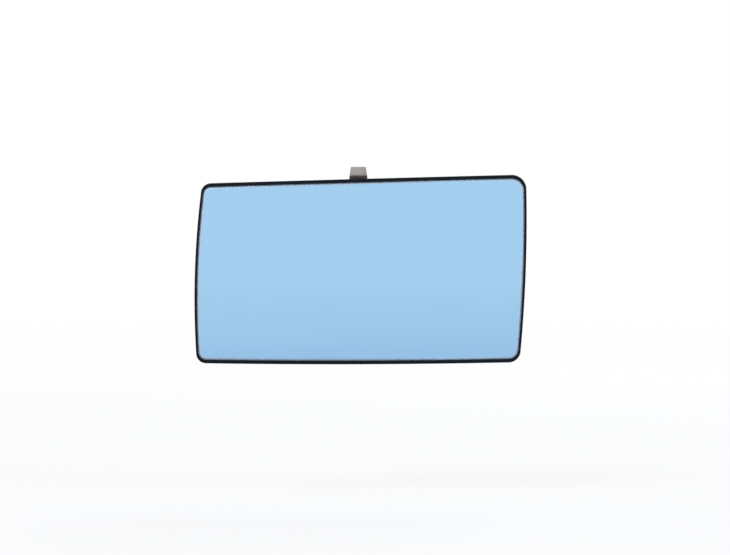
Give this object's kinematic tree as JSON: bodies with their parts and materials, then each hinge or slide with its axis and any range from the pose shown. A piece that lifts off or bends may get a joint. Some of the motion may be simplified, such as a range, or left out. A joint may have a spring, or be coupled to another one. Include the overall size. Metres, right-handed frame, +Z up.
{
  "type": "car door mirror glass",
  "caption": "Convex blue-tinted door mirror glass in a black moulded carrier plate, with a steel locking ring and lever on its hub and a heater foil with blade terminals.",
  "frame": {"origin": "on the axis of the hub's bore, at its rear mouth", "axes": "+Z up as the mirror stands on the car, +X to the right seen from the front, +Y towards the back, so the glass faces -Y"},
  "size_m": [0.1756, 0.0124, 0.1046],
  "materials": {
    "tinted_mirror": "polished, blue tinted",
    "heater_film": "printed film, satin",
    "moulded_plastic": "fine moulded grain",
    "plated_steel": "zinc plated",
    "tinned_brass": "tinned",
    "rivet_brass": "bright"
  },
  "bodies": {
    "mirror": {"carrier_plate": "moulded_plastic", "mirror_glass": "tinted_mirror", "heater_foil": "heater_film", "heater_terminal_upper": "tinned_brass", "heater_terminal_lower": "tinned_brass", "terminal_rivets": "rivet_brass"},
    "lock": {"locking_ring": "plated_steel"}
  },
  "joints": [
    {"name": "lock_turn", "type": "hinge", "parent": "mirror", "child": "lock", "pos_m": [0, 0, 0], "axis": [0, -1, 0], "range_deg": [0, 12]}
  ]
}
